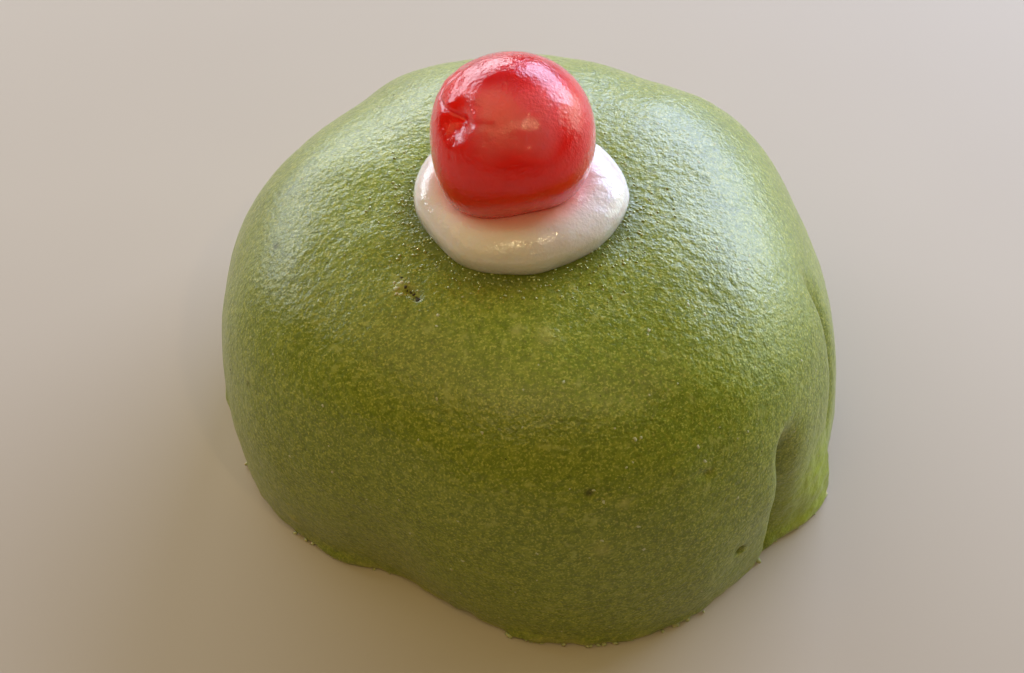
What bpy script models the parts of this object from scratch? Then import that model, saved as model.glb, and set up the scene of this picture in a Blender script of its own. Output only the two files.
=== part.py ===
"""Dome cake under a sheet of green marzipan, with a dab of icing and a glace cherry on its crown.

Metres, +Z up. The cake stands on the XY plane with the origin under the middle of its outline.
Bearings are measured round the cake from +X, counter-clockwise seen from above.
"""

import math

import bmesh
import bpy
import numpy as np

MM = 0.001

# The cake: its height, the middle of its foot and how far the crown leans off that middle
CAKE_HEIGHT = 39.6 * MM
CAKE_MIDDLE = np.array([-0.51, -0.15]) * MM
CROWN_LEAN = np.array([-0.2, -0.9]) * MM
# Radii every 15 degrees of bearing, at the foot and, before the profile narrows them, at the crown
FOOT_RADII = np.array([
    40.7, 40.0, 39.7, 39.8, 39.2, 39.3, 39.8, 39.8, 39.8, 39.3, 39.5, 39.7,
    39.3, 39.7, 39.5, 37.0, 34.4, 35.9, 38.8, 40.3, 40.8, 40.0, 40.1, 40.7,
]) * MM
CROWN_RADII = np.array([
    39.1, 39.6, 41.6, 42.3, 39.9, 40.3, 41.8, 41.8, 42.1, 40.6, 41.5, 43.3,
    43.1, 43.1, 42.1, 41.4, 40.9, 40.7, 40.8, 41.0, 41.6, 42.4, 41.6, 40.6,
]) * MM
# Powers of the profile: under 1, they make the crown flatter and the wall steeper than a ball's
CROWN_POWER = 0.52
WALL_POWER = 0.85
# The sheet's lower edge rolls under by this much, over this height
EDGE_TUCK = 1.2 * MM
EDGE_HEIGHT = 1.5 * MM

# Pleats: bearings of the crease at the foot and at its top end, height of that end, how sharply its
# line bends there, heights between which it opens, its depth, how far the near lip hangs over it,
# and swell of the lobe beyond it
PLEATS = (
    {"foot": -44.1, "end": -37.4, "height": 25.5 * MM, "bend": 7.0, "open": (0, 5 * MM),
     "depth": 4.6 * MM, "lip": 2.4 * MM, "lobe": 2.3 * MM},
    {"foot": -25, "end": -7, "height": 32 * MM, "bend": 2.4, "open": (8 * MM, 16 * MM),
     "depth": 3.4 * MM, "lip": 2.0 * MM, "lobe": 0.4 * MM},
    {"foot": 112, "end": 120, "height": 20 * MM, "bend": 2.5, "open": (0, 5 * MM),
     "depth": 2.4 * MM, "lip": 2.0 * MM, "lobe": 0.8 * MM},
)
# Across a crease: width of its steep and its gentle side, and the lobe's place, width and height
CREASE_STEEP = 1.2 * MM
CREASE_GENTLE = 3.4 * MM
LIP_WIDTH = 1.5 * MM
LOBE_PLACE = 11.5 * MM
LOBE_WIDTH = 4.5 * MM
LOBE_HEIGHT = 15 * MM
# Where along the crease its depth starts to fade, and the share of it that is pinched shut below
CREASE_FADE = 0.7
CREASE_PINCH = 0.95

# The cherry: its radius, its centre from the cake's middle, and its lobes and dimple
CHERRY_RADIUS = 9.2 * MM
CHERRY_CENTRE = np.array([*(CAKE_MIDDLE + np.array([-2.3, -1.8]) * MM), CAKE_HEIGHT + 10.4 * MM])
# Direction from the centre, swell and spread of each; the last is the stone's dimple
CHERRY_LOBES = (
    ((-0.65, -0.60, -0.47), 1.2 * MM, 0.12),
    ((-0.80, 0.47, 0.37), 0.5 * MM, 0.15),
    ((0.77, -0.50, -0.40), 0.3 * MM, 0.10),
    ((0.20, -0.77, -0.60), -0.4 * MM, 0.06),
    ((-0.69, -0.40, 0.60), -1.2 * MM, 0.02),
)

# The icing: plan radii every 30 degrees of bearing, its middle, and the heights of its bulge
ICING_RADII = np.array([12.4, 12.0, 11.2, 10.8, 11.3, 12.3, 12.4, 11.6, 11.4, 10.7, 10.5, 11.2]) * MM
ICING_MIDDLE = CAKE_MIDDLE + np.array([-1.4, -3.0]) * MM
ICING_BULGE_HEIGHT = CAKE_HEIGHT + 1.7 * MM
ICING_TUCK = 0.9 * MM
# The icing grips the cherry up to this angle from straight down
SOCKET_ANGLE = math.radians(53)
# Clear gap between touching pieces
GAP = 0.3 * MM

# Fineness of each piece: columns round it and rows up it
CAKE_COLUMNS = 116
CAKE_RINGS_WALL = 23
CAKE_RINGS_EDGE = 2
ICING_COLUMNS = 40
ICING_RINGS = {"underside": 2, "tuck": 2, "bulge": 5, "socket": 4}
CHERRY_COLUMNS = 32
CHERRY_ROWS = 18
# The cake's columns crowd round this bearing, over this width, by this many times more
PLEATED_BEARING = math.radians(-31)
PLEATED_WIDTH = math.radians(24)
PLEATED_CROWDING = 4
# Edges that turn by more than this are shaded sharp
SHARP_ANGLE = math.radians(60)

# Colours of the marzipan, the icing and the cherry, with their roughness
MARZIPAN = ((0.19, 0.20, 0.035), 0.45)
SUGAR_ICING = ((0.80, 0.74, 0.62), 0.25)
CANDIED_CHERRY = ((0.55, 0.02, 0.015), 0.12)


def around(values, bearing):
    """Smooth closed curve through values spaced evenly round the circle (Catmull-Rom)."""
    count = len(values)
    place = bearing / (2 * math.pi) * count
    first = np.floor(place).astype(int)
    t = place - first
    before, start, end, after = (values[(first + step) % count] for step in (-1, 0, 1, 2))
    bend = 2 * before - 5 * start + 4 * end - after
    twist = 3 * (start - end) + after - before
    return start + 0.5 * t * (end - before + t * (bend + t * twist))


def fade(value, low, high):
    """Rise smoothly from 0 at low to 1 at high."""
    t = np.clip((value - low) / (high - low), 0, 1)
    return t * t * (3 - 2 * t)


def hump(distance, width):
    """Bell curve of height 1."""
    return np.exp(-(distance / width) ** 2)


def pleated(radius, bearing, height):
    """Push the skin in along each crease, hang its near lip over and swell the lobe beyond."""
    turned = bearing
    for pleat in PLEATS:
        climb = np.clip(height / pleat["height"], 0, 1)
        line = np.radians(pleat["foot"] + (pleat["end"] - pleat["foot"]) * climb ** pleat["bend"])
        strength = 1 - fade(climb, CREASE_FADE, 1)
        across = (bearing - line) * FOOT_RADII.mean()
        side = np.where(across > 0, CREASE_GENTLE, CREASE_STEEP)
        lobe = pleat["lobe"] * hump(across - LOBE_PLACE, LOBE_WIDTH) * (1 - fade(height, 0, LOBE_HEIGHT))
        depth = pleat["depth"] * (1 - CREASE_PINCH * (1 - fade(height, *pleat["open"])))
        radius = radius + strength * (lobe - depth * hump(across, side))
        reach = pleat["lip"] * fade(height, -EDGE_HEIGHT, 2 * EDGE_HEIGHT)
        turned = turned + strength * reach * hump(across + LIP_WIDTH, LIP_WIDTH) / FOOT_RADII.mean()
    return radius, turned


def cake_skin(bearing, rise):
    """Points of the skin; rise is -1 at the underside's rim, 0 at the widest ring, 1 at the crown."""
    angle = np.maximum(rise, 0) * math.pi / 2
    tuck = np.minimum(rise, 0) * math.pi / 2
    spread = np.cos(angle) ** CROWN_POWER
    lift = np.sin(angle) ** WALL_POWER
    outline = (1 - lift) * around(FOOT_RADII, bearing) + lift * around(CROWN_RADII, bearing)
    radius = outline * spread - EDGE_TUCK * (1 - np.cos(tuck))
    height = EDGE_HEIGHT * (1 + np.sin(tuck)) + (CAKE_HEIGHT - EDGE_HEIGHT) * lift
    radius, bearing = pleated(radius, bearing, height)
    x = CAKE_MIDDLE[0] + CROWN_LEAN[0] * lift + radius * np.cos(bearing)
    y = CAKE_MIDDLE[1] + CROWN_LEAN[1] * lift + radius * np.sin(bearing)
    return np.stack(np.broadcast_arrays(x, y, height), axis=-1)


def crown_height(place):
    """Height of the skin over points near the crown, which the pleats don't reach."""
    x, y = (place[..., axis] - CAKE_MIDDLE[axis] - CROWN_LEAN[axis] for axis in (0, 1))
    spread = np.hypot(x, y) / around(CROWN_RADII, np.arctan2(y, x))
    angle = np.arccos(spread ** (1 / CROWN_POWER))
    return EDGE_HEIGHT + (CAKE_HEIGHT - EDGE_HEIGHT) * np.sin(angle) ** WALL_POWER


def crowded_bearings(count):
    """Bearings round the cake, closer together where the pleats at its right side are."""
    fine = np.radians(np.linspace(-180, 180, 2001))
    density = 1 + PLEATED_CROWDING * hump(fine - PLEATED_BEARING, PLEATED_WIDTH)
    share = np.concatenate([[0], np.cumsum((density[1:] + density[:-1]) / 2)])
    return np.interp(np.arange(count) / count * share[-1], share, fine)


def cherry_surface(direction, clear=0.0):
    """Points of the cherry's surface along unit directions from its centre, moved out by clear."""
    radius = np.full(direction.shape[:-1], CHERRY_RADIUS + clear)
    for aim, swell, spread in CHERRY_LOBES:
        aim = np.array(aim) / np.linalg.norm(aim)
        radius = radius + swell * np.exp((direction @ aim - 1) / spread)
    return CHERRY_CENTRE + radius[..., None] * direction


def icing_rows(bearing):
    """Rows of points: underside from its middle out, bulge, top up to the cherry, socket down."""
    outward = np.stack([np.cos(bearing), np.sin(bearing)], axis=-1)
    outline = around(ICING_RADII, bearing)[:, None] * outward
    widest = ICING_MIDDLE + outline
    foot = widest - ICING_TUCK * outward

    def grip(angle):
        down = np.full((len(bearing), 1), -math.cos(angle))
        return cherry_surface(np.hstack([outward * math.sin(angle), down]), GAP)

    rim = grip(SOCKET_ANGLE)
    drop = crown_height(foot) + GAP - ICING_BULGE_HEIGHT
    climb = rim[:, 2] - ICING_BULGE_HEIGHT
    rows = []
    for share in np.linspace(0, 1, ICING_RINGS["underside"] + 2)[1:-1]:
        place = ICING_MIDDLE + share * (foot - ICING_MIDDLE)
        rows.append(np.column_stack([place, crown_height(place) + GAP]))
    for turn in np.linspace(0, math.pi / 2, ICING_RINGS["tuck"] + 1)[:-1]:
        place = foot + (widest - foot) * math.sin(turn)
        rows.append(np.column_stack([place, ICING_BULGE_HEIGHT + drop * math.cos(turn)]))
    for turn in np.linspace(0, math.pi / 2, ICING_RINGS["bulge"] + 1):
        place = rim[:, :2] + (widest - rim[:, :2]) * math.cos(turn)
        rows.append(np.column_stack([place, ICING_BULGE_HEIGHT + climb * math.sin(turn)]))
    for share in np.linspace(1, 0, ICING_RINGS["socket"] + 2)[1:-1]:
        rows.append(grip(SOCKET_ANGLE * share))
    return rows


def reshaped_ball(name, rows, bottom, top, material):
    """UV sphere whose rows and two poles are moved to the given points."""
    mesh_builder = bmesh.new()
    columns = len(rows[0])
    steps = len(rows) + 1
    bmesh.ops.create_uvsphere(mesh_builder, u_segments=columns, v_segments=steps, radius=1)
    for vertex in mesh_builder.verts:
        row = round(math.acos(max(-1, min(1, -vertex.co.z))) / math.pi * steps)
        column = round(math.atan2(vertex.co.y, vertex.co.x) / (2 * math.pi) * columns) % columns
        if row == 0:
            vertex.co = bottom
        elif row == steps:
            vertex.co = top
        else:
            vertex.co = rows[row - 1][column]
    bmesh.ops.triangulate(mesh_builder, faces=mesh_builder.faces)
    bmesh.ops.recalc_face_normals(mesh_builder, faces=mesh_builder.faces)
    mesh = bpy.data.meshes.new(name)
    mesh_builder.to_mesh(mesh)
    mesh_builder.free()
    mesh.shade_smooth()
    mesh.set_sharp_from_angle(angle=SHARP_ANGLE)
    mesh.materials.append(material)
    piece = bpy.data.objects.new(name, mesh)
    bpy.context.scene.collection.objects.link(piece)
    return piece


def food_material(name, colour, roughness):
    """Plain moist surface of one colour."""
    material = bpy.data.materials.new(name)
    material.use_nodes = True
    shader = material.node_tree.nodes["Principled BSDF"]
    shader.inputs["Base Color"].default_value = (*colour, 1)
    shader.inputs["Roughness"].default_value = roughness
    shader.inputs["Metallic"].default_value = 0
    return material


def make_cake():
    """The covered dome, one solid down to its flat underside."""
    bearings = crowded_bearings(CAKE_COLUMNS)
    edge = np.linspace(-1, 0, CAKE_RINGS_EDGE + 1)[:-1]
    wall = np.linspace(0, 1, CAKE_RINGS_WALL + 1)[:-1]
    rows = [cake_skin(bearings, rise) for rise in (*edge, *wall)]
    bottom = (*CAKE_MIDDLE, 0)
    top = cake_skin(np.zeros(1), 1)[0]
    return reshaped_ball("cake", rows, bottom, top, food_material("marzipan", *MARZIPAN))


def make_icing():
    """The dab of icing, hollowed where the cherry is pressed into it."""
    rows = icing_rows(np.arange(ICING_COLUMNS) / ICING_COLUMNS * 2 * math.pi)
    bottom = (*ICING_MIDDLE, crown_height(ICING_MIDDLE) + GAP)
    top = cherry_surface(np.array([0, 0, -1.0]), GAP)
    return reshaped_ball("icing", rows, bottom, top, food_material("sugar_icing", *SUGAR_ICING))


def make_cherry():
    """The glace cherry, a ball with soft lobes and the dimple left by its stone."""
    bearing = np.arange(CHERRY_COLUMNS) / CHERRY_COLUMNS * 2 * math.pi
    rows = []
    for climb in np.linspace(0, math.pi, CHERRY_ROWS + 1)[1:-1]:
        across = math.sin(climb)
        up = np.full(CHERRY_COLUMNS, -math.cos(climb))
        rows.append(cherry_surface(np.column_stack([across * np.cos(bearing), across * np.sin(bearing), up])))
    bottom = cherry_surface(np.array([0, 0, -1.0]))
    top = cherry_surface(np.array([0, 0, 1.0]))
    return reshaped_ball("cherry", rows, bottom, top, food_material("candied_cherry", *CANDIED_CHERRY))


def main():
    for old in list(bpy.data.objects):
        bpy.data.objects.remove(old)
    make_cake()
    make_icing()
    make_cherry()


main()
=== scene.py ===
"""Looks of the dome cake: its marzipan skin, the icing, the glace cherry, flecks, syrup and crumbs.

Every piece is a grid of points worked out from named sizes, in metres, in the frame of the solids.
Bearings are measured round the cake from +X, counter-clockwise seen from above.
"""

import math

import bpy
import numpy as np
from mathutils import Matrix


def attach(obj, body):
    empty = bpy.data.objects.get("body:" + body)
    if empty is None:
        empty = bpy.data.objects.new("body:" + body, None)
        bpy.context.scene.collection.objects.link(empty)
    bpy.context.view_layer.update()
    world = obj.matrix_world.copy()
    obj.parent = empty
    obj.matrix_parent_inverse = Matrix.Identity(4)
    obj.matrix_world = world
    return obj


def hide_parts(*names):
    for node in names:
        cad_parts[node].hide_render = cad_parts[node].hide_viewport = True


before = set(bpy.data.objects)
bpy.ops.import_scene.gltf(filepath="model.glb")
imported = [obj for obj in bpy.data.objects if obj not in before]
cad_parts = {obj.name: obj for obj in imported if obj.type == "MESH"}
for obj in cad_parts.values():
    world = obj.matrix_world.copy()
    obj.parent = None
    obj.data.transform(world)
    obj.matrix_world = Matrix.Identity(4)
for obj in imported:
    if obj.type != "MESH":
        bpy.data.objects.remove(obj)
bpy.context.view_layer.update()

MM = 0.001

# The cake: its height, the middle of its foot and how far the crown leans off that middle
CAKE_HEIGHT = 39.6 * MM
CAKE_MIDDLE = np.array([-0.51, -0.15]) * MM
CROWN_LEAN = np.array([-0.2, -0.9]) * MM
# Radii every 15 degrees of bearing, at the foot and, before the profile narrows them, at the crown
FOOT_RADII = np.array([
    40.7, 40.0, 39.7, 39.8, 39.2, 39.3, 39.8, 39.8, 39.8, 39.3, 39.5, 39.7,
    39.3, 39.7, 39.5, 37.0, 34.4, 35.9, 38.8, 40.3, 40.8, 40.0, 40.1, 40.7,
]) * MM
CROWN_RADII = np.array([
    39.1, 39.6, 41.6, 42.3, 39.9, 40.3, 41.8, 41.8, 42.1, 40.6, 41.5, 43.3,
    43.1, 43.1, 42.1, 41.4, 40.9, 40.7, 40.8, 41.0, 41.6, 42.4, 41.6, 40.6,
]) * MM
# Powers of the profile: under 1, they make the crown flatter and the wall steeper than a ball's
CROWN_POWER = 0.52
WALL_POWER = 0.85
# The sheet's lower edge rolls under by this much, over this height
EDGE_TUCK = 1.2 * MM
EDGE_HEIGHT = 1.5 * MM

# Pleats: bearings of the crease at the foot and at its top end, height of that end, how sharply its
# line bends there, heights between which it opens, its depth, how far the near lip hangs over it,
# and swell of the lobe beyond it
PLEATS = (
    {"foot": -44.1, "end": -37.4, "height": 25.5 * MM, "bend": 7.0, "open": (0, 5 * MM),
     "depth": 4.6 * MM, "lip": 2.4 * MM, "lobe": 2.3 * MM},
    {"foot": -25, "end": -7, "height": 32 * MM, "bend": 2.4, "open": (8 * MM, 16 * MM),
     "depth": 3.4 * MM, "lip": 2.0 * MM, "lobe": 0.4 * MM},
    {"foot": 112, "end": 120, "height": 20 * MM, "bend": 2.5, "open": (0, 5 * MM),
     "depth": 2.4 * MM, "lip": 2.0 * MM, "lobe": 0.8 * MM},
)
# Across a crease: width of its steep and its gentle side, and the lobe's place, width and height
CREASE_STEEP = 1.2 * MM
CREASE_GENTLE = 3.4 * MM
LIP_WIDTH = 1.5 * MM
LOBE_PLACE = 11.5 * MM
LOBE_WIDTH = 4.5 * MM
LOBE_HEIGHT = 15 * MM
# Where along the crease its depth starts to fade, and the share of it that is pinched shut below
CREASE_FADE = 0.7
CREASE_PINCH = 0.95

# The cherry: its radius, its centre from the cake's middle, and its lobes
CHERRY_RADIUS = 9.2 * MM
CHERRY_CENTRE = np.array([*(CAKE_MIDDLE + np.array([-2.3, -1.8]) * MM), CAKE_HEIGHT + 10.4 * MM])
# Direction from the centre, swell and spread of each lobe; the last is the stone's dimple
CHERRY_LOBES = (
    ((-0.65, -0.60, -0.47), 1.2 * MM, 0.12),
    ((-0.80, 0.47, 0.37), 0.5 * MM, 0.15),
    ((0.77, -0.50, -0.40), 0.3 * MM, 0.10),
    ((0.20, -0.77, -0.60), -0.4 * MM, 0.06),
    ((-0.69, -0.40, 0.60), -1.2 * MM, 0.02),
)
# The slit that the stone was taken out by, as directions from the centre, the fold beside it
# and the small pits round them
SLIT = ((-0.617, 0.282, 0.735), (-0.808, 0.216, 0.548), (-0.858, 0.077, 0.509),
        (-0.808, -0.141, 0.572), (-0.674, -0.322, 0.666), (-0.607, -0.430, 0.668))
SLIT_FOLD = ((-0.649, -0.346, 0.677), (-0.469, -0.525, 0.710), (-0.253, -0.605, 0.755))
PITS = ((-0.775, -0.410, 0.482), (-0.641, -0.480, 0.599), (-0.741, -0.618, 0.263),
        (-0.722, -0.554, 0.416), (-0.830, -0.273, 0.486))
# Middles of the painted glow in the flesh and of the painted shade on the flesh above it, as directions from
# the centre, and the cosines of the angles from them where each starts and is full
CLEAR_PLACE = np.array([0.02, -0.455, 0.89])
CLEAR_FADE = (0.72, 0.95)
DEEP_PLACE = np.array([0, 0.45, 0.893])
DEEP_FADE = (0.70, 0.90)

# The icing: plan radii every 30 degrees of bearing, its middle, and the heights of its bulge
ICING_RADII = np.array([12.4, 12.0, 11.2, 10.8, 11.3, 12.3, 12.4, 11.6, 11.4, 10.7, 10.5, 11.2]) * MM
ICING_MIDDLE = CAKE_MIDDLE + np.array([-1.4, -3.0]) * MM
ICING_BULGE_HEIGHT = CAKE_HEIGHT + 1.7 * MM
ICING_TUCK = 0.9 * MM
SOCKET_ANGLE = math.radians(53)
# The icing's underside lies this far in the skin, and its socket this far in the cherry
ICING_SINK = 0.45 * MM

# The photograph's camera: the point it looks at, its height above the horizon and its distance
AIM = np.array([-3.01, -8.65, 22.0]) * MM
CAMERA_RISE = math.radians(52)
CAMERA_DISTANCE = 190 * MM
CAMERA_LENS_MM = 54.1


# Shapes shared by the pieces

def around(values, bearing):
    """Smooth closed curve through values spaced evenly round the circle (Catmull-Rom)."""
    count = len(values)
    place = bearing / (2 * math.pi) * count
    first = np.floor(place).astype(int)
    t = place - first
    before, start, end, after = (values[(first + step) % count] for step in (-1, 0, 1, 2))
    bend = 2 * before - 5 * start + 4 * end - after
    twist = 3 * (start - end) + after - before
    return start + 0.5 * t * (end - before + t * (bend + t * twist))


def fade(value, low, high):
    """Rise smoothly from 0 at low to 1 at high."""
    t = np.clip((value - low) / (high - low), 0, 1)
    return t * t * (3 - 2 * t)


def hump(distance, width):
    """Bell curve of height 1."""
    return np.exp(-(distance / width) ** 2)


# Noise: corners along each side of its lattice, after which it repeats, and the corner at the origin
LATTICE = 32
LATTICE_ORIGIN = 1000


def unevenness(points, size, seed):
    """Noise from -1 to 1: random values on a cubic lattice of this size, blended between its corners."""
    draw = np.random.default_rng(seed).uniform(-1, 1, (LATTICE, LATTICE, LATTICE))
    place = points / size + LATTICE_ORIGIN
    corner = np.floor(place).astype(int)
    t = place - corner
    t = t * t * (3 - 2 * t)
    total = 0
    for step in np.ndindex(2, 2, 2):
        weight = np.prod(np.where(step, t, 1 - t), axis=-1)
        total = total + weight * draw[tuple(((corner + step) % LATTICE)[..., axis] for axis in range(3))]
    return total


def waves(points, layers):
    """Unevenness added up over layers, each with its height, size and seed."""
    return sum(height * unevenness(points, size, seed) for height, size, seed in layers)


def outward_of(points):
    """Unit normals of a closed grid, rows going up and columns counter-clockwise."""
    east = np.roll(points, -1, axis=1) - np.roll(points, 1, axis=1)
    up = np.gradient(points, axis=0)
    normal = np.cross(east, up)
    return normal / np.maximum(np.linalg.norm(normal, axis=-1, keepdims=True), 1e-12)


def distance_to_path(points, path):
    """Distance from each point to the nearest stretch of a path of straight stretches."""
    nearest = np.full(points.shape[:-1], np.inf)
    for start, end in zip(path[:-1], path[1:]):
        run = end - start
        share = np.clip(((points - start) @ run) / (run @ run), 0, 1)
        nearest = np.minimum(nearest, np.linalg.norm(points - start - share[..., None] * run, axis=-1))
    return nearest


def shell(name, points, bottom, top, finish, slot, node, **attributes):
    """Closed mesh of a grid of points, rows going up, with a pole at each end and values on its points."""
    rows, columns = points.shape[:2]
    place = np.arange(rows * columns).reshape(rows, columns)
    beside = np.roll(place, -1, axis=1)
    quads = np.stack([place[:-1], beside[:-1], beside[1:], place[1:]], axis=-1).reshape(-1, 4)
    low = np.column_stack([np.full(columns, rows * columns), beside[0], place[0]])
    high = np.column_stack([place[-1], beside[-1], np.full(columns, rows * columns + 1)])
    corners = np.concatenate([low.ravel(), high.ravel(), quads.ravel()])
    sizes = np.concatenate([np.full(2 * columns, 3), np.full(len(quads), 4)])
    vertices = np.vstack([points.reshape(-1, 3), bottom, top])
    piece = mesh_piece(name, vertices, corners, sizes, finish, node)
    for label, values in attributes.items():
        layer = piece.data.attributes.new(label, "FLOAT", "POINT")
        layer.data.foreach_set("value", np.append(values.ravel(), [0, 0]).astype(np.float32))
    return piece


def mesh_piece(name, vertices, corners, sizes, finish, node=None):
    """Smooth mesh object of the cake from its vertices and the corners of its faces, in a row."""
    mesh = bpy.data.meshes.new(name)
    mesh.vertices.add(len(vertices))
    mesh.vertices.foreach_set("co", vertices.astype(np.float32).ravel())
    mesh.loops.add(len(corners))
    mesh.loops.foreach_set("vertex_index", corners.astype(np.int32))
    mesh.polygons.add(len(sizes))
    mesh.polygons.foreach_set("loop_start", np.concatenate([[0], np.cumsum(sizes)[:-1]]).astype(np.int32))
    mesh.update(calc_edges=True)
    mesh.shade_smooth()
    mesh.materials.append(finish)
    piece = bpy.data.objects.new(name, mesh)
    bpy.context.scene.collection.objects.link(piece)
    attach(piece, "root")
    if node:
        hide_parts(node)
    return piece


# Finishes

def new_finish(name):
    """Node material: the material, its tree, its shader and a place in the piece's own space."""
    finish = bpy.data.materials.new(name)
    finish.use_nodes = True
    tree = finish.node_tree
    place = tree.nodes.new("ShaderNodeTexCoord").outputs["Object"]
    return finish, tree, tree.nodes["Principled BSDF"], place


def set_shader(shader, **values):
    """Set the shader's own sockets; underscores stand for spaces."""
    for label, value in values.items():
        shader.inputs[label.replace("_", " ")].default_value = value


def clouds(tree, place, size, detail=2.0, rough=0.5, shift=0.0):
    """Soft noise from 0 to 1 with spots of this size."""
    turn = tree.nodes.new("ShaderNodeMapping")
    turn.inputs["Location"].default_value = (shift, shift, shift)
    tree.links.new(place, turn.inputs["Vector"])
    node = tree.nodes.new("ShaderNodeTexNoise")
    node.inputs["Scale"].default_value = 1 / size
    node.inputs["Detail"].default_value = detail
    node.inputs["Roughness"].default_value = rough
    tree.links.new(turn.outputs["Vector"], node.inputs["Vector"])
    return node.outputs["Fac"]


def remap(tree, value, low, high, to_low=0.0, to_high=1.0):
    """Straight line from low and high to two new values, held at its ends."""
    node = tree.nodes.new("ShaderNodeMapRange")
    for socket, number in zip(("From Min", "From Max", "To Min", "To Max"), (low, high, to_low, to_high)):
        node.inputs[socket].default_value = number
    tree.links.new(value, node.inputs["Value"])
    return node.outputs["Result"]


def arithmetic(tree, operation, first, second):
    """Product, difference or the like of two values, the second of which may be a number."""
    node = tree.nodes.new("ShaderNodeMath")
    node.operation = operation
    tree.links.new(first, node.inputs[0])
    if isinstance(second, (int, float)):
        node.inputs[1].default_value = second
    else:
        tree.links.new(second, node.inputs[1])
    return node.outputs["Value"]


def tint(tree, share, first, second):
    """Colour from first to second as share goes from 0 to 1; either may be a socket."""
    node = tree.nodes.new("ShaderNodeMix")
    node.data_type = "RGBA"
    for socket, value in ((node.inputs[0], share), (node.inputs[6], first), (node.inputs[7], second)):
        if isinstance(value, bpy.types.NodeSocket):
            tree.links.new(value, socket)
        elif isinstance(value, (int, float)):
            socket.default_value = value
        else:
            socket.default_value = (*value, 1)
    return node.outputs[2]


def own_value(tree, label):
    """A value painted on the piece's own points."""
    node = tree.nodes.new("ShaderNodeAttribute")
    node.attribute_name = label
    return node.outputs["Fac"]


def bumps(tree, shader, *layers):
    """Fine relief: each layer is a height from 0 to 1 and its depth in metres, negative for pits."""
    normal = None
    for height, depth in layers:
        node = tree.nodes.new("ShaderNodeBump")
        node.inputs["Distance"].default_value = abs(depth)
        node.invert = depth < 0
        tree.links.new(height, node.inputs["Height"])
        if normal:
            tree.links.new(normal, node.inputs["Normal"])
        normal = node.outputs["Normal"]
    for label in ("Normal", "Coat Normal"):
        tree.links.new(normal, shader.inputs[label])


# Tints of the marzipan: the noise each follows, the noise's values where it starts and is full, its
# greatest share and its colour
NOISE_TINTS = (
    # Pale grain specks: partly the paste's own grain, partly painted glints
    ("grain", 0.53, 0.66, 0.85, (0.52, 0.50, 0.09)),
    ("grain", 0.48, 0.32, 0.50, (0.090, 0.110, 0.007)),
    ("mottle", 0.50, 0.68, 0.40, (0.40, 0.41, 0.05)),
    ("mottle", 0.48, 0.32, 0.35, (0.09, 0.115, 0.007)),
    ("pale", 0.60, 0.72, 0.60, (0.42, 0.43, 0.09)),
    ("olive", 0.66, 0.76, 0.35, (0.11, 0.12, 0.02)),
)
# Its colours set by values on its points: lighter where drawn thin, partly painted light; darker in a ring
# soaked with syrup, partly a painted shadow of the icing; paler where torn open; dark in the marks, and
# painted shade in the creases
PAINTED_TINTS = (
    ("thin", (0.40, 0.50, 0.02)),
    ("soaked", (0.085, 0.105, 0.006)),
    ("torn", (0.50, 0.46, 0.13)),
    ("stain", (0.045, 0.030, 0.008)),
)
# How much smoother full moisture makes it
MOIST_SMOOTHNESS = 0.11


def marzipan_finish():
    """Moist ground-almond paste: clouded green, grainy, pale and olive mottles, painted glints, shade and
    light.
    """
    finish, tree, shader, place = new_finish("green_marzipan")
    noises = {
        "grain": clouds(tree, place, 0.28 * MM, 3, 0.6),
        "mottle": clouds(tree, place, 0.8 * MM, 2, 0.6, 1.7),
        "pale": clouds(tree, place, 1.5 * MM, 2, 0.6, 0.3),
        "olive": clouds(tree, place, 1.3 * MM, 2, 0.5, 0.7),
    }
    colour = tint(tree, clouds(tree, place, 8 * MM), (0.175, 0.225, 0.011), (0.235, 0.290, 0.022))
    for noise, start, full, share, shade in NOISE_TINTS:
        colour = tint(tree, remap(tree, noises[noise], start, full, 0, share), colour, shade)
    for label, shade in PAINTED_TINTS:
        colour = tint(tree, own_value(tree, label), colour, shade)
    tree.links.new(colour, shader.inputs["Base Color"])
    wet = own_value(tree, "wet")
    dry = remap(tree, clouds(tree, place, 1.1 * MM, 3, 0.6, 0.1), 0.3, 0.7, 0.32, 0.46)
    smoother = arithmetic(tree, "MULTIPLY", wet, MOIST_SMOOTHNESS)
    tree.links.new(arithmetic(tree, "SUBTRACT", dry, smoother), shader.inputs["Roughness"])
    set_shader(shader, Subsurface_Weight=0.2, Subsurface_Radius=(0.8, 0.7, 0.2), Subsurface_Scale=0.6 * MM,
               Specular_IOR_Level=0.25, Coat_Roughness=0.28)
    tree.links.new(remap(tree, wet, -0.9, 1, 0, 0.80), shader.inputs["Coat Weight"])
    bumps(tree, shader, (clouds(tree, place, 1.1 * MM, 2, 0.6, 0.5), 0.11 * MM),
          (clouds(tree, place, 0.60 * MM, 2, 0.5, 0.9), 0.10 * MM), (noises["grain"], 0.04 * MM))
    return finish


def icing_finish():
    """Smooth sugar icing, stained pink by the syrup where it meets the cherry."""
    finish, tree, shader, place = new_finish("sugar_icing")
    colour = tint(tree, clouds(tree, place, 4 * MM), (0.81, 0.71, 0.67), (0.88, 0.80, 0.77))
    colour = tint(tree, own_value(tree, "syrup"), colour, (0.85, 0.28, 0.20))
    tree.links.new(colour, shader.inputs["Base Color"])
    rough = remap(tree, clouds(tree, place, 2 * MM), 0.3, 0.7, 0.14, 0.24)
    tree.links.new(rough, shader.inputs["Roughness"])
    set_shader(shader, Subsurface_Weight=0.5, Subsurface_Radius=(1.0, 0.7, 0.45), Subsurface_Scale=1.5 * MM,
               Coat_Weight=0.5, Coat_Roughness=0.08)
    bumps(tree, shader, (clouds(tree, place, 1.2 * MM, 2), 0.08 * MM),
          (clouds(tree, place, 0.35 * MM, 2), 0.04 * MM))
    return finish


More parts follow.
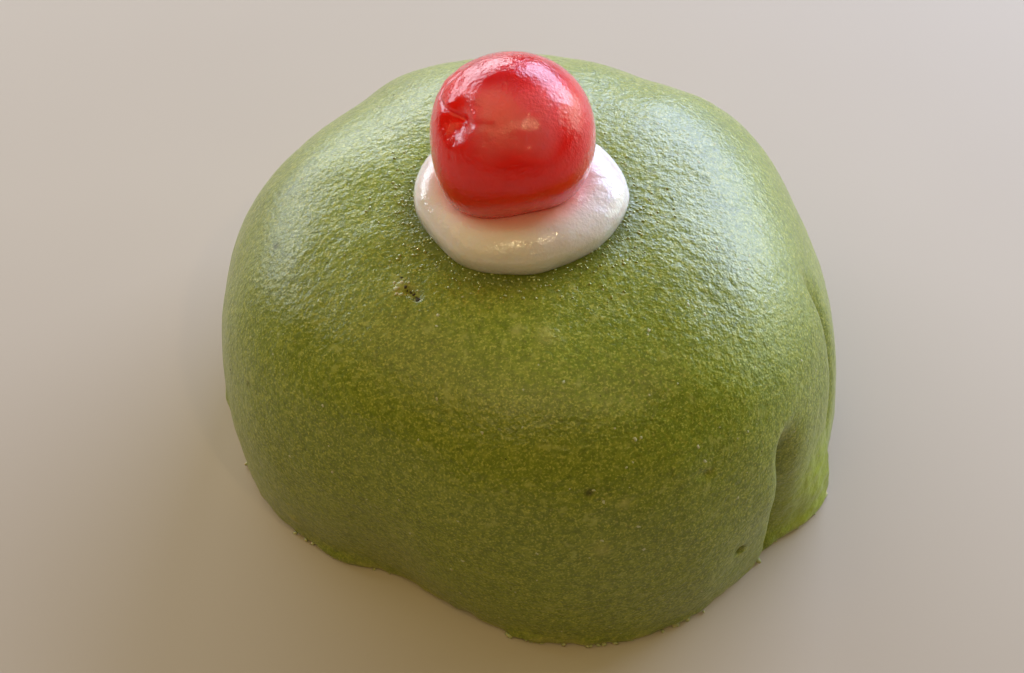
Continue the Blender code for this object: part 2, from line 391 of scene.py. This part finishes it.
def cherry_finish():
    """Candied fruit: clear red flesh under syrup, painted glow in front, painted shade on top and in its
    folds.
    """
    finish, tree, shader, place = new_finish("candied_cherry")
    cloud = clouds(tree, place, 4 * MM, 3, 0.55)
    flesh = tint(tree, cloud, (0.84, 0.016, 0.010), (0.95, 0.036, 0.026))
    # Painted glow: lighter flesh where light shines through
    clear = tint(tree, cloud, (1.0, 0.13, 0.15), (1.0, 0.21, 0.23))
    colour = tint(tree, own_value(tree, "clear"), flesh, clear)
    # Painted shade: darker flesh on top
    colour = tint(tree, own_value(tree, "deep"), colour, (0.62, 0.025, 0.028))
    # Painted shade in the slit and the fold
    colour = tint(tree, own_value(tree, "fold"), colour, (0.50, 0.010, 0.03))
    tree.links.new(colour, shader.inputs["Base Color"])
    rough = remap(tree, clouds(tree, place, 1.5 * MM, 3), 0.3, 0.7, 0.06, 0.12)
    tree.links.new(rough, shader.inputs["Roughness"])
    set_shader(shader, Subsurface_Weight=1.0, Subsurface_Radius=(1.0, 0.12, 0.08), Subsurface_Scale=18 * MM,
               Specular_IOR_Level=0.3, Transmission_Weight=0.30, IOR=1.40,
               Coat_Weight=0.50, Coat_Roughness=0.05)
    bumps(tree, shader, (clouds(tree, place, 0.35 * MM, 2, 0.6), 0.035 * MM),
          (clouds(tree, place, 1.4 * MM, 3, 0.55), 0.11 * MM))
    return finish


def fleck_finish(name, colour, rough):
    """Bits of nut and crumb: one colour, mottled finely."""
    finish, tree, shader, place = new_finish(name)
    darker = tuple(0.7 * part for part in colour)
    tree.links.new(tint(tree, clouds(tree, place, 0.4 * MM), darker, colour), shader.inputs["Base Color"])
    set_shader(shader, Roughness=rough, Subsurface_Weight=0.2, Subsurface_Scale=0.5 * MM)
    bumps(tree, shader, (clouds(tree, place, 0.25 * MM), 0.03 * MM))
    return finish


# The marzipan skin

SKIN_COLUMNS = 560
SKIN_ROWS = 160
# Shares of the way from the underside's middle to its rim that get a row
UNDERSIDE_SHARES = (0.4, 0.7, 0.9, 0.97)
EDGE_ROWS = 6
# Columns crowd round this bearing, over this width, by this many times more
PLEATED_BEARING = math.radians(-31)
PLEATED_WIDTH = math.radians(24)
PLEATED_CROWDING = 1.4
# Marks in the skin: bearing in degrees, rise, width, depth, torn share and share of dark colour
MARKS = (
    (-134.0, 0.843, 0.60 * MM, 0.35 * MM, 0.2, 0.25), (-130.6, 0.840, 0.50 * MM, 0.35 * MM, 0.0, 0.35),
    (-137.6, 0.838, 0.90 * MM, -0.08 * MM, 0.45, 0.0),
    (-59.3, 0.429, 0.4 * MM, 0.20 * MM, 0.0, 0.2), (-58.1, 0.418, 0.4 * MM, 0.30 * MM, 0.0, 0.4),
    (-57.0, 0.416, 0.4 * MM, 0.25 * MM, 0.0, 0.3), (-52.0, 0.115, 0.6 * MM, 0.9 * MM, 0.0, 0.7),
    (-79.9, 0.457, 0.45 * MM, 0.15 * MM, 0.0, 1.0), (-172.4, 0.648, 0.40 * MM, 0.15 * MM, 0.0, 0.9),
    (10.2, 0.200, 0.30 * MM, 0.10 * MM, 0.0, 0.9), (-153.5, 0.365, 0.28 * MM, 0.10 * MM, 0.0, 0.9),
    (-164.5, 0.150, 1.1 * MM, -0.35 * MM, 0.3, 0.0), (-165.5, 0.070, 0.9 * MM, 0.45 * MM, 0.0, 0.1),
    (-73.8, 0.416, 0.50 * MM, -0.05 * MM, 0.8, 0.0), (-78.5, 0.294, 1.00 * MM, -0.05 * MM, 0.5, 0.0),
    (-95.4, 0.840, 0.60 * MM, -0.06 * MM, 0.5, 0.0), (-85.6, 0.831, 1.10 * MM, -0.08 * MM, 0.4, 0.0),
    (-141.0, 0.043, 0.90 * MM, -0.25 * MM, 0.7, 0.0),
)
# The nick: bearing in degrees, rise and size of the bits torn up round it and of the dark bits in it,
# which are painted shade for its holes
NICK_CRUMBS = ((-138.6, 0.847, 0.30 * MM), (-136.9, 0.855, 0.20 * MM), (-138.0, 0.832, 0.34 * MM),
               (-135.4, 0.829, 0.27 * MM), (-140.2, 0.838, 0.24 * MM), (-132.2, 0.853, 0.16 * MM),
               (-136.6, 0.824, 0.22 * MM))
NICK_HOLES = ((-136.4, 0.845, 0.26 * MM), (-135.2, 0.842, 0.19 * MM), (-133.9, 0.844, 0.23 * MM),
              (-132.4, 0.843, 0.21 * MM), (-131.0, 0.841, 0.26 * MM), (-129.7, 0.838, 0.34 * MM))
# The pleat's lobe, where the sheet is drawn thin and crumbly, and lighter in colour, partly as painted light:
# bearing and spread in degrees, heights between which that fades, its share of the colour, and the crumbs'
# height and size
THIN_BEARING = -30
THIN_SPREAD = 9
THIN_FADE = (8 * MM, 20 * MM)
THIN_SHARE = 0.65
CRUMBLY_HEIGHT = 0.14 * MM
CRUMBLY_SIZE = 1.1 * MM
# The moist zone, a little behind the icing: its middle, and the distances between which it dries
MOIST_MIDDLE = ICING_MIDDLE + np.array([3, 6]) * MM
MOIST_FADE = (12 * MM, 44 * MM)
# The dark ring against the icing, soaked with syrup and partly a painted shadow of the icing: its reach,
# and its share of the colour
SOAKED_REACH = 1.9 * MM
SOAKED_SHARE = 0.65
# The painted shade in a crease: its middle beyond the crease's line, and its share of the colour
SHADE_PLACE = 0.2 * MM
SHADE_SHARE = 0.75
# Unevenness of the sheet: height, size and seed of each layer, and the height where all of it shows
SHEET_WAVES = ((0.22 * MM, 9 * MM, 1), (0.10 * MM, 4 * MM, 2), (0.020 * MM, 1.3 * MM, 3),
               (0.015 * MM, 0.8 * MM, 4))
SHEET_WAVES_RISE = 3 * MM
# The cut edge: its middle's height and its spread, how rough it is, and its share of torn colour
CUT_MIDDLE = 0.9 * MM
CUT_SPREAD = 1.1 * MM
CUT_ROUGHNESS = 0.22 * MM
CUT_TORN = 0.5
# Where the cut edge stands proud: bearing and spread in degrees, and swell
EDGE_LIPS = ((-131, 8, 0.8 * MM), (-91, 5, 0.5 * MM), (-74, 9, 0.4 * MM), (-33, 7, 0.5 * MM),
             (60, 12, 0.4 * MM))


def crease_line(pleat, height):
    """Share of the crease's height reached, and the bearing of its line there."""
    climb = np.clip(height / pleat["height"], 0, 1)
    return climb, np.radians(pleat["foot"] + (pleat["end"] - pleat["foot"]) * climb ** pleat["bend"])


def pleated(radius, bearing, height):
    """Push the skin in along each crease, hang its near lip over and swell the lobe beyond."""
    turned = bearing
    for pleat in PLEATS:
        climb, line = crease_line(pleat, height)
        strength = 1 - fade(climb, CREASE_FADE, 1)
        across = (bearing - line) * FOOT_RADII.mean()
        side = np.where(across > 0, CREASE_GENTLE, CREASE_STEEP)
        lobe = pleat["lobe"] * hump(across - LOBE_PLACE, LOBE_WIDTH) * (1 - fade(height, 0, LOBE_HEIGHT))
        depth = pleat["depth"] * (1 - CREASE_PINCH * (1 - fade(height, *pleat["open"])))
        radius = radius + strength * (lobe - depth * hump(across, side))
        reach = pleat["lip"] * fade(height, -EDGE_HEIGHT, 2 * EDGE_HEIGHT)
        turned = turned + strength * reach * hump(across + LIP_WIDTH, LIP_WIDTH) / FOOT_RADII.mean()
    return radius, turned


def cake_skin(bearing, rise):
    """Points of the skin; rise is -1 at the underside's rim, 0 at the widest ring, 1 at the crown.

    Radius and height are the cosine and the sine of the rise's angle, each raised to its power.
    """
    angle = np.maximum(rise, 0) * math.pi / 2
    tuck = np.minimum(rise, 0) * math.pi / 2
    spread = np.cos(angle) ** CROWN_POWER
    lift = np.sin(angle) ** WALL_POWER
    outline = (1 - lift) * around(FOOT_RADII, bearing) + lift * around(CROWN_RADII, bearing)
    radius = outline * spread - EDGE_TUCK * (1 - np.cos(tuck))
    height = EDGE_HEIGHT * (1 + np.sin(tuck)) + (CAKE_HEIGHT - EDGE_HEIGHT) * lift
    radius, bearing = pleated(radius, bearing, height)
    x = CAKE_MIDDLE[0] + CROWN_LEAN[0] * lift + radius * np.cos(bearing)
    y = CAKE_MIDDLE[1] + CROWN_LEAN[1] * lift + radius * np.sin(bearing)
    return np.stack(np.broadcast_arrays(x, y, height), axis=-1)


def crown_height(place):
    """Height of the skin over points near the crown, which the pleats don't reach."""
    x, y = (place[..., axis] - CAKE_MIDDLE[axis] - CROWN_LEAN[axis] for axis in (0, 1))
    spread = np.hypot(x, y) / around(CROWN_RADII, np.arctan2(y, x))
    angle = np.arccos(spread ** (1 / CROWN_POWER))
    return EDGE_HEIGHT + (CAKE_HEIGHT - EDGE_HEIGHT) * np.sin(angle) ** WALL_POWER


def crowded_bearings(count):
    """Bearings round the cake, closer together where the pleats at its right side are."""
    fine = np.radians(np.linspace(-180, 180, 2001))
    density = 1 + PLEATED_CROWDING * hump(fine - PLEATED_BEARING, PLEATED_WIDTH)
    share = np.concatenate([[0], np.cumsum((density[1:] + density[:-1]) / 2)])
    return np.interp(np.arange(count) / count * share[-1], share, fine)


def even_rises(count):
    """Rises from foot to crown that lie evenly along the profile's length."""
    fine = np.linspace(0, 1, 4001)
    profile = cake_skin(np.full(1, math.radians(-90)), fine[:, None])[:, 0]
    length = np.concatenate([[0], np.cumsum(np.linalg.norm(np.diff(profile, axis=0), axis=1))])
    return np.interp(np.linspace(0, length[-1], count + 1)[:-1], length, fine)


def in_crease(bearing, height):
    """How near a crease's line each point lies, from 0 to 1; it places the painted shade in the creases."""
    nearest = np.zeros(np.broadcast_shapes(bearing.shape, height.shape))
    for pleat in PLEATS:
        climb, line = crease_line(pleat, height)
        across = (bearing - line) * FOOT_RADII.mean()
        strength = 1 - fade(climb, CREASE_FADE, 1)
        nearest = np.maximum(nearest, strength * hump(across - SHADE_PLACE, LIP_WIDTH))
    return nearest


def beyond_icing(points):
    """Distance outside the icing's widest line, seen from above; negative under the icing."""
    side = points[..., :2] - ICING_MIDDLE
    return np.linalg.norm(side, axis=-1) - around(ICING_RADII, np.arctan2(side[..., 1], side[..., 0]))


def skin_relief(points, bearing):
    """Height of the sheet's waves, cut edge, lips and marks, with the shares of torn and of dark colour.

    Each mark is a bell curve of the distance from its middle, made ragged by noise on that distance.
    """
    height = points[..., 2]
    relief = waves(points, SHEET_WAVES) * fade(height, 0, SHEET_WAVES_RISE)
    cut = hump(height - CUT_MIDDLE, CUT_SPREAD)
    relief = relief + cut * CUT_ROUGHNESS * unevenness(points, 1.4 * MM, 5)
    torn = CUT_TORN * cut * fade(unevenness(points, 2.5 * MM, 7), -0.1, 0.4)
    ragged = 1 + 0.3 * unevenness(points, 0.8 * MM, 6)
    for middle, spread, swell in EDGE_LIPS:
        relief = relief + swell * cut * hump(np.degrees(bearing) - middle, spread)
    stain = np.zeros(points.shape[:2])
    for mark_bearing, rise, width, depth, torn_share, stain_share in MARKS:
        centre = cake_skin(np.full(1, math.radians(mark_bearing)), rise)[0]
        near = hump(np.linalg.norm(points - centre, axis=-1) * ragged, width)
        relief = relief - depth * near
        torn = np.maximum(torn, torn_share * near)
        stain = np.maximum(stain, stain_share * near)
    return relief * fade(height, -0.1 * MM, 0.5 * MM), torn, stain


def make_skin():
    """The covered dome, down to its flat underside. Returns its points and their outward directions."""
    bearing = crowded_bearings(SKIN_COLUMNS)[None, :]
    rise = np.concatenate([np.linspace(-1, 0, EDGE_ROWS + 1)[:-1], even_rises(SKIN_ROWS)])[:, None]
    smooth = cake_skin(bearing, rise)
    relief, torn, stain = skin_relief(smooth, bearing)
    outward = outward_of(smooth)
    height = smooth[..., 2]
    # The thin lobe's lighter colour is partly painted light
    thin = hump(np.degrees(bearing) - THIN_BEARING, THIN_SPREAD) * (1 - fade(height, *THIN_FADE))
    crumbly = CRUMBLY_HEIGHT * unevenness(smooth, CRUMBLY_SIZE, 8) * thin * fade(height, 0, 2 * MM)
    points = smooth + (relief + crumbly)[..., None] * outward
    points[..., 2] = np.maximum(points[..., 2], 0)
    middle = np.array([*CAKE_MIDDLE, 0])
    underside = np.stack([middle + share * (points[0] - middle) for share in UNDERSIDE_SHARES])
    pad = np.zeros((len(UNDERSIDE_SHARES), SKIN_COLUMNS))
    # Dark ring against the icing: syrup-soaked skin and painted shadow of the icing
    soaked = SOAKED_SHARE * hump(np.maximum(beyond_icing(points), 0), SOAKED_REACH)
    # Painted shade in the creases, joined to the dark colour of the marks
    stain = np.maximum(stain, SHADE_SHARE * in_crease(bearing, height))
    from_moist = np.linalg.norm(points[..., :2] - MOIST_MIDDLE, axis=-1)
    wet = 1 - fade(from_moist, *MOIST_FADE) - np.maximum(torn, stain)
    shell("marzipan_skin", np.concatenate([underside, points]), middle, cake_skin(np.zeros(1), 1)[0],
          marzipan_finish(), "marzipan", "cake",
          torn=np.vstack([pad, torn]), stain=np.vstack([pad, stain]), wet=np.vstack([pad, wet]),
          thin=np.vstack([pad, THIN_SHARE * thin]), soaked=np.vstack([pad, soaked]))
    return points, outward


# The cherry

CHERRY_COLUMNS = 340
CHERRY_ROWS = 230
# Depth and width of the slit, of the fold beside it and of each pit
SLIT_PRESS = (0.18 * MM, 0.24 * MM)
FOLD_PRESS = (0.09 * MM, 0.40 * MM)
PIT_PRESS = (0.10 * MM, 0.40 * MM)
# Share and width of the painted shade in the slit and in the fold
SLIT_SHADE = (0.55, 0.3 * MM)
FOLD_SHADE = (0.3, 0.4 * MM)
# Height and size of the puckers, how far from slit and fold they reach, and height and size of the waves
PUCKER_HEIGHT = 0.12 * MM
PUCKER_SIZE = 1.2 * MM
PUCKER_REACH = 2.5 * MM
CHERRY_WAVES = (0.10 * MM, 5 * MM)


def cherry_surface(direction, gap=0.0):
    """Points of the cherry's surface along unit directions from its centre, moved out by a gap.

    Each lobe swells or sinks the radius by an exponential of the direction's nearness to its aim.
    """
    radius = np.full(direction.shape[:-1], CHERRY_RADIUS + gap)
    for aim, swell, spread in CHERRY_LOBES:
        aim = np.array(aim) / np.linalg.norm(aim)
        radius = radius + swell * np.exp((direction @ aim - 1) / spread)
    return CHERRY_CENTRE + radius[..., None] * direction


def make_cherry():
    """The glace cherry: lobed ball, slit and fold pressed in, skin finely puckered round them."""
    bearing = np.arange(CHERRY_COLUMNS) / CHERRY_COLUMNS * 2 * math.pi
    climb = np.linspace(0, math.pi, CHERRY_ROWS + 1)[1:-1]
    across, up = np.sin(climb)[:, None], -np.cos(climb)[:, None]
    direction = np.stack(np.broadcast_arrays(across * np.cos(bearing), across * np.sin(bearing), up), axis=-1)
    ball = direction * CHERRY_RADIUS
    slit = distance_to_path(ball, np.array(SLIT) * CHERRY_RADIUS)
    fold = distance_to_path(ball, np.array(SLIT_FOLD) * CHERRY_RADIUS)
    pressed = SLIT_PRESS[0] * hump(slit, SLIT_PRESS[1]) + FOLD_PRESS[0] * hump(fold, FOLD_PRESS[1])
    for aim in PITS:
        from_pit = np.linalg.norm(direction - np.array(aim), axis=-1) * CHERRY_RADIUS
        pressed = pressed + PIT_PRESS[0] * hump(from_pit, PIT_PRESS[1])
    pucker = hump(np.minimum(slit, fold), PUCKER_REACH) * PUCKER_HEIGHT
    puckered = pucker * unevenness(ball, PUCKER_SIZE, 11)
    wavy = CHERRY_WAVES[0] * unevenness(ball, CHERRY_WAVES[1], 12)
    points = cherry_surface(direction) + (wavy + puckered - pressed)[..., None] * direction
    ragged = 0.10 * unevenness(ball, 3.5 * MM, 13)
    # Painted glow: lighter flesh in front, where light shines through
    clear = fade(direction @ CLEAR_PLACE + ragged, *CLEAR_FADE)
    # Painted shade: darker flesh on top
    deep = fade(direction @ DEEP_PLACE + ragged, *DEEP_FADE)
    # Painted shade in the slit and the fold
    dark = np.maximum(SLIT_SHADE[0] * hump(slit, SLIT_SHADE[1]), FOLD_SHADE[0] * hump(fold, FOLD_SHADE[1]))
    pole = np.array([0, 0, 1.0])
    shell("glace_cherry", points, cherry_surface(-pole), cherry_surface(pole), cherry_finish(),
          "cherry", "cherry", fold=dark, clear=clear, deep=deep)


# The icing

ICING_COLUMNS = 300
ICING_ROWS = {"underside": 8, "tuck": 24, "bulge": 90, "socket": 14}
# Its unevenness: height, size and seed of each layer
ICING_WAVES = ((0.16 * MM, 4.5 * MM, 21), (0.04 * MM, 1.6 * MM, 22))
# Its rim stands off the cherry by this much
RIM_GAP = 0.05 * MM
# The syrup's stain round the cherry: its reach, and its share of the colour
SYRUP_REACH = 1.6 * MM
SYRUP_SHARE = 0.7


def icing_grid(bearing):
    """Rows of points: underside from its middle out, bulge, top up to the cherry, socket down.

    The tuck and the bulge are quarter ellipses between the foot, the widest line and the rim.
    """
    outward = np.stack([np.cos(bearing), np.sin(bearing)], axis=-1)
    widest = ICING_MIDDLE + around(ICING_RADII, bearing)[:, None] * outward
    foot = widest - ICING_TUCK * outward

    def grip(angle, gap):
        down = np.full((len(bearing), 1), -math.cos(angle))
        return cherry_surface(np.hstack([outward * math.sin(angle), down]), gap)

    rim = grip(SOCKET_ANGLE, RIM_GAP)
    drop = crown_height(foot) - ICING_SINK - ICING_BULGE_HEIGHT
    climb = rim[:, 2] - ICING_BULGE_HEIGHT
    rows = []
    for share in np.linspace(0, 1, ICING_ROWS["underside"] + 2)[1:-1]:
        place = ICING_MIDDLE + share * (foot - ICING_MIDDLE)
        rows.append(np.column_stack([place, crown_height(place) - ICING_SINK]))
    for turn in np.linspace(0, math.pi / 2, ICING_ROWS["tuck"] + 1)[:-1]:
        place = foot + (widest - foot) * math.sin(turn)
        rows.append(np.column_stack([place, ICING_BULGE_HEIGHT + drop * math.cos(turn)]))
    for turn in np.linspace(0, math.pi / 2, ICING_ROWS["bulge"] + 1):
        place = rim[:, :2] + (widest - rim[:, :2]) * math.cos(turn)
        rows.append(np.column_stack([place, ICING_BULGE_HEIGHT + climb * math.sin(turn)]))
    for share in np.linspace(1, 0, ICING_ROWS["socket"] + 2)[1:-1]:
        rows.append(grip(SOCKET_ANGLE * share, -ICING_SINK))
    return np.stack(rows)


def make_icing():
    """The dab of icing that the cherry is pressed into."""
    bearing = np.arange(ICING_COLUMNS) / ICING_COLUMNS * 2 * math.pi
    smooth = icing_grid(bearing)
    shown = np.zeros((len(smooth), 1))
    shown[ICING_ROWS["underside"]:-ICING_ROWS["socket"]] = 1
    points = smooth + (waves(smooth, ICING_WAVES) * shown)[..., None] * outward_of(smooth)
    from_cherry = np.linalg.norm(smooth - CHERRY_CENTRE, axis=-1) - CHERRY_RADIUS
    syrup = hump(np.maximum(from_cherry - 0.3 * MM, 0), SYRUP_REACH) * SYRUP_SHARE
    pole = np.array([0, 0, -1.0])
    bottom = np.array([*ICING_MIDDLE, crown_height(ICING_MIDDLE) - ICING_SINK])
    shell("icing_dab", points, bottom, cherry_surface(pole, -ICING_SINK), icing_finish(), "icing", "icing",
          syrup=syrup)


# Flecks in the skin, beads of syrup on it and crumbs at its foot

# How many lie where a seeded draw puts them
PALE_FLECKS = 220
DARK_SPECKS = 26
BEADS = 520
# Flecks keep this far from the icing's middle and this high above the foot
ICING_BERTH = 14 * MM
FOOT_BERTH = 2 * MM
# The beads' ring: its distance from the icing, how fast they thin out from there, and how far inside
# the icing's widest line the first ones lie
BEAD_RING = 0.4 * MM
BEAD_SPREAD = 1.5 * MM
BEAD_START = -0.6 * MM
# Heaps of crumbs: bearing and spread in degrees, and how many; and how many lie elsewhere
CRUMB_HEAPS = ((-91, 2.5, 9), (-74, 8, 12), (-32, 6, 9), (-135, 8, 6))
STRAY_CRUMBS = 24


def pebble():
    """Rounded bit of 26 points and 48 triangles: a cube's grid pushed out to a ball."""
    steps = np.array([-1.0, 0.0, 1.0])
    grid = np.array([(x, y, z) for x in steps for y in steps for z in steps if (x, y, z) != (0, 0, 0)])
    faces = []
    for axis in range(3):
        for side in (-1, 1):
            face = [k for k in range(26) if grid[k, axis] == side]
            first, second = ((axis + 1) % 3, (axis + 2) % 3)
            face.sort(key=lambda k: (grid[k, first], grid[k, second]))
            for a, b in ((0, 0), (0, 1), (1, 0), (1, 1)):
                corner = [face[3 * (a + i) + b + j] for i, j in ((0, 0), (1, 0), (1, 1), (0, 1))]
                corner = corner if side > 0 else corner[::-1]
                faces += [(corner[0], corner[1], corner[2]), (corner[0], corner[2], corner[3])]
    return grid / np.linalg.norm(grid, axis=1, keepdims=True), np.array(faces)


def scatter(name, centres, outward, sizes, flatness, rng, finish):
    """Joined bits, one on each centre, squashed along its outward direction and roughened."""
    ball, faces = pebble()
    count = len(centres)
    side = np.cross(outward, rng.normal(size=(count, 3)))
    side /= np.linalg.norm(side, axis=1, keepdims=True)
    other = np.cross(outward, side)
    stretch = rng.uniform(0.7, 1.3, (count, 1, 1))
    rough = rng.uniform(0.75, 1.2, (count, len(ball), 1))
    local = ball[None] * rough * sizes[:, None, None]
    points = (centres[:, None] + local[..., 0:1] * stretch * side[:, None]
              + local[..., 1:2] / stretch * other[:, None] + local[..., 2:3] * flatness * outward[:, None])
    corners = (faces[None] + len(ball) * np.arange(count)[:, None, None]).ravel()
    return mesh_piece(name, points.reshape(-1, 3), corners, np.full(count * len(faces), 3), finish)


def pick_on_skin(points, outward, count, rng, closeness=None):
    """Random places on the shown skin, even by area and clear of the icing, or weighted by closeness."""
    east = np.linalg.norm(np.roll(points, -1, axis=1) - points, axis=-1)
    up = np.linalg.norm(np.gradient(points, axis=0), axis=-1)
    if closeness is None:
        closeness = np.linalg.norm(points[..., :2] - ICING_MIDDLE, axis=-1) > ICING_BERTH
    weight = (east * up * closeness * (points[..., 2] > FOOT_BERTH)).ravel()
    chosen = rng.choice(weight.size, count, replace=False, p=weight / weight.sum())
    return points.reshape(-1, 3)[chosen], outward.reshape(-1, 3)[chosen]


def spots_on_skin(points, outward, places):
    """Places given by bearing and rise, lifted onto the relief, and their outward directions."""
    aims = np.stack([cake_skin(np.full(1, math.radians(bearing)), rise)[0] for bearing, rise, _ in places])
    points, outward = points.reshape(-1, 3), outward.reshape(-1, 3)
    near = np.linalg.norm(points[None] - aims[:, None], axis=-1).argmin(axis=1)
    away = outward[near]
    lift = ((points[near] - aims) * away).sum(axis=1)
    return aims + lift[:, None] * away, away


def make_flecks(points, outward):
    """Pale almond bits and dark specks of almond skin, set almost flush in the marzipan; the nick's dark bits
    are painted shade.
    """
    rng = np.random.default_rng(31)
    pale = fleck_finish("blanched_almond", (0.62, 0.60, 0.34), 0.5)
    dark = fleck_finish("almond_skin", (0.055, 0.045, 0.010), 0.85)
    kinds = (("almond_flecks", PALE_FLECKS, (0.10, 0.30), NICK_CRUMBS, 0.1, pale),
             ("dark_specks", DARK_SPECKS, (0.08, 0.20), NICK_HOLES, 0.2, dark))
    for name, count, (least, most), nick, sink, finish in kinds:
        centres, away = pick_on_skin(points, outward, count, rng)
        # The nick's dark bits are painted shade for its holes
        nick_centres, nick_away = spots_on_skin(points, outward, nick)
        centres, away = np.vstack([centres, nick_centres]), np.vstack([away, nick_away])
        sizes = np.append(rng.uniform(least, most, count) * MM, [size for _, _, size in nick])
        sunk = np.append(np.full(count, 0.3), np.full(len(nick), sink)) * sizes
        scatter(name, centres - sunk[:, None] * away, away, sizes, 0.5, rng, finish)


def make_beads(points, outward):
    """Fine beads of syrup on the skin, thickest against the icing's foot; their lighter colour is partly
    painted glints.
    """
    rng = np.random.default_rng(37)
    beyond = beyond_icing(points)
    closeness = np.exp(-np.abs(beyond - BEAD_RING) / BEAD_SPREAD) * (beyond > BEAD_START)
    centres, away = pick_on_skin(points, outward, BEADS, rng, closeness)
    sizes = rng.uniform(0.06, 0.22, BEADS) * MM
    finish, tree, shader, place = new_finish("clear_syrup")
    # Lighter colour, partly painted glints
    tree.links.new(tint(tree, clouds(tree, place, 0.5 * MM), (0.20, 0.23, 0.03), (0.52, 0.54, 0.20)),
                   shader.inputs["Base Color"])
    set_shader(shader, Roughness=0.08, Coat_Weight=1.0, Coat_Roughness=0.04)
    scatter("syrup_beads", centres, away, sizes, 0.8, rng, finish)


def make_crumbs():
    """Bits of marzipan that lie against the foot, thickest at the front and by the pleats."""
    rng = np.random.default_rng(41)
    heaps = [rng.normal(middle, spread, count) for middle, spread, count in CRUMB_HEAPS]
    bearing = np.radians(np.concatenate([*heaps, rng.uniform(-180, 180, STRAY_CRUMBS)]))
    sizes = rng.uniform(0.18, 0.5, len(bearing)) * MM
    foot = cake_skin(bearing, np.zeros(len(bearing)))
    away = foot[:, :2] - CAKE_MIDDLE
    away /= np.linalg.norm(away, axis=1, keepdims=True)
    shift = sizes[:, None] * rng.uniform(-0.6, 0.5, (len(sizes), 1))
    centres = np.column_stack([foot[:, :2] + away * shift, sizes])
    up = np.tile([0.0, 0.0, 1.0], (len(bearing), 1))
    crumb = fleck_finish("marzipan_crumb", (0.52, 0.52, 0.24), 0.6)
    scatter("crumbs", centres, up, sizes, 0.80, rng, crumb)


# Floor, light and camera

# Half the floor's width, in metres
FLOOR_HALF = 1.5
# Lights: name, direction from the cake, distance, width and height, power in watts, and colour
LIGHTS = (
    ("back_window", (0.55, 0.72, 0.45), 0.8, (0.80, 0.46), 9.9, (0.60, 0.71, 1.0)),
    ("left_window", (-0.56, 0.80, 0.31), 1.0, (1.4, 0.38), 10.3, (0.83, 0.90, 1.0)),
    ("right_window", (0.90, 0.40, 0.22), 0.8, (0.60, 0.40), 2.6, (0.84, 0.98, 0.85)),
    ("ceiling", (-0.38, -0.24, 0.89), 1.0, (1.3, 1.0), 4.0, (1.0, 0.77, 0.33)),
    ("warm_lamp", (0.33, -0.44, 0.83), 0.6, (0.02, 0.02), 0.22, (1.0, 0.78, 0.42)),
    ("left_lamp", (-0.10, -0.55, 0.83), 0.6, (0.02, 0.02), 0.20, (1.0, 0.78, 0.42)),
    ("low_lamp", (0.28, -0.83, 0.49), 0.6, (0.02, 0.02), 0.04, (1.0, 0.78, 0.42)),
)
# The height on the cake that they face
LIT_HEIGHT = 30 * MM
# The room's own faint light
ROOM_COLOUR = (1.0, 0.95, 0.45, 1)
ROOM_STRENGTH = 0.024


def make_floor():
    """Plain pale floor that the cake stands on."""
    mesh = bpy.data.meshes.new("floor")
    corners = [(x * FLOOR_HALF, y * FLOOR_HALF, 0) for x, y in ((-1, -1), (1, -1), (1, 1), (-1, 1))]
    mesh.from_pydata(corners, [], [(0, 1, 2, 3)])
    finish, tree, shader, place = new_finish("pale_floor")
    tree.links.new(tint(tree, clouds(tree, place, 0.05), (0.50, 0.42, 0.34), (0.53, 0.45, 0.37)),
                   shader.inputs["Base Color"])
    set_shader(shader, Roughness=0.6)
    mesh.materials.append(finish)
    floor = bpy.data.objects.new("floor", mesh)
    bpy.context.scene.collection.objects.link(floor)


def soft_light(name, toward, distance, size, power, colour):
    """Area light at a distance from the cake in a direction, facing it."""
    light = bpy.data.lights.new(name, "AREA")
    light.shape = "RECTANGLE"
    light.size, light.size_y = size
    light.energy = power
    light.color = colour
    lamp = bpy.data.objects.new(name, light)
    away = np.array(toward) / np.linalg.norm(toward)
    lamp.location = np.array([0, 0, LIT_HEIGHT]) + distance * away
    lamp.rotation_euler = look_along(-away)
    bpy.context.scene.collection.objects.link(lamp)


def look_along(direction):
    """Turn that points an object's own -Z along a direction, with its Y kept upright."""
    x, y, z = direction
    return (math.acos(-z), 0, math.atan2(-x, y))


def light_scene():
    """Wide cool windows behind, a warm ceiling and three small warm lamps, in a dim warm room."""
    for light in LIGHTS:
        soft_light(*light)
    world = bpy.data.worlds.new("room")
    world.use_nodes = True
    background = world.node_tree.nodes["Background"]
    background.inputs["Color"].default_value = ROOM_COLOUR
    background.inputs["Strength"].default_value = ROOM_STRENGTH
    bpy.context.scene.world = world
    bpy.context.scene.view_settings.view_transform = "Standard"


def make_camera():
    """The photograph's camera, looking along +Y and down."""
    camera = bpy.data.cameras.new("camera")
    camera.lens = CAMERA_LENS_MM
    camera.clip_start, camera.clip_end = 0.01, 10
    holder = bpy.data.objects.new("camera", camera)
    away = np.array([0, -math.cos(CAMERA_RISE), math.sin(CAMERA_RISE)])
    holder.location = AIM + CAMERA_DISTANCE * away
    holder.rotation_euler = look_along(-away)
    bpy.context.scene.collection.objects.link(holder)
    bpy.context.scene.camera = holder


skin_points, skin_outward = make_skin()
make_icing()
make_cherry()
make_flecks(skin_points, skin_outward)
make_beads(skin_points, skin_outward)
make_crumbs()
make_floor()
light_scene()
make_camera()
